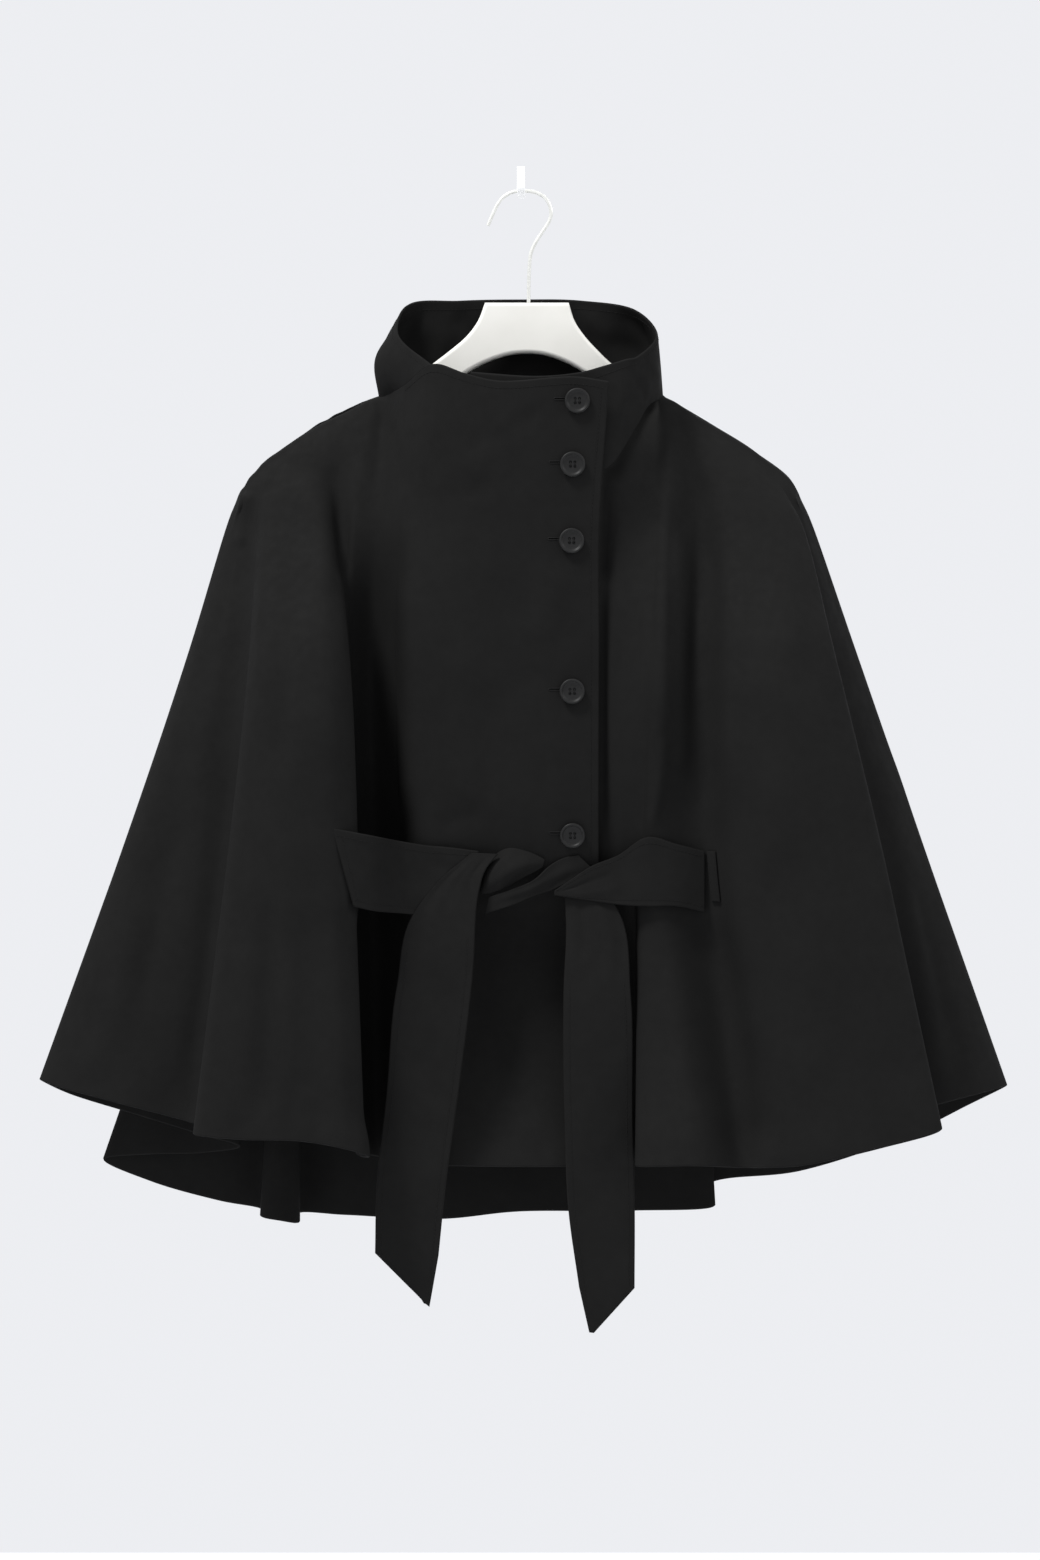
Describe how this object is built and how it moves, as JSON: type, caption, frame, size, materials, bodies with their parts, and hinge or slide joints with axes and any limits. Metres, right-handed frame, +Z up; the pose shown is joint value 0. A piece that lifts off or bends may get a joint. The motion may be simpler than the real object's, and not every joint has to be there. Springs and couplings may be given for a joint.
{
  "type": "cape trench jacket on a hanger and wall hook",
  "caption": "Short belted cape trench jacket with a funnel collar, buttoned right over left, hanging in deep folds from a hanger on a small wall hook.",
  "frame": {"origin": "on the wall, where the wall hook meets it", "axes": "+Z up, +Y into the wall, +X to the right as seen from the front"},
  "size_m": [0.8238, 0.1744, 0.9911],
  "materials": {
    "cloth": "matte, closely woven black coating",
    "button": "satin dark grey",
    "hanger": "satin off-white",
    "wire": "pale satin",
    "wall_hook": "satin white"
  },
  "bodies": {
    "root": {"front_right": "cloth", "front_left": "cloth", "back": "cloth", "collar": "cloth", "slit_welt": "cloth", "belt_right": "cloth", "belt_left": "cloth", "belt_inside": "cloth", "belt_tail_right": "cloth", "belt_tail_left": "cloth", "belt_cross": "cloth", "belt_knot": "cloth", "button_1": "button", "button_2": "button", "button_3": "button", "button_4": "button", "button_5": "button", "hanger": "hanger", "hanger_hook": "wire", "wall_hook": "wall_hook"}
  },
  "joints": []
}
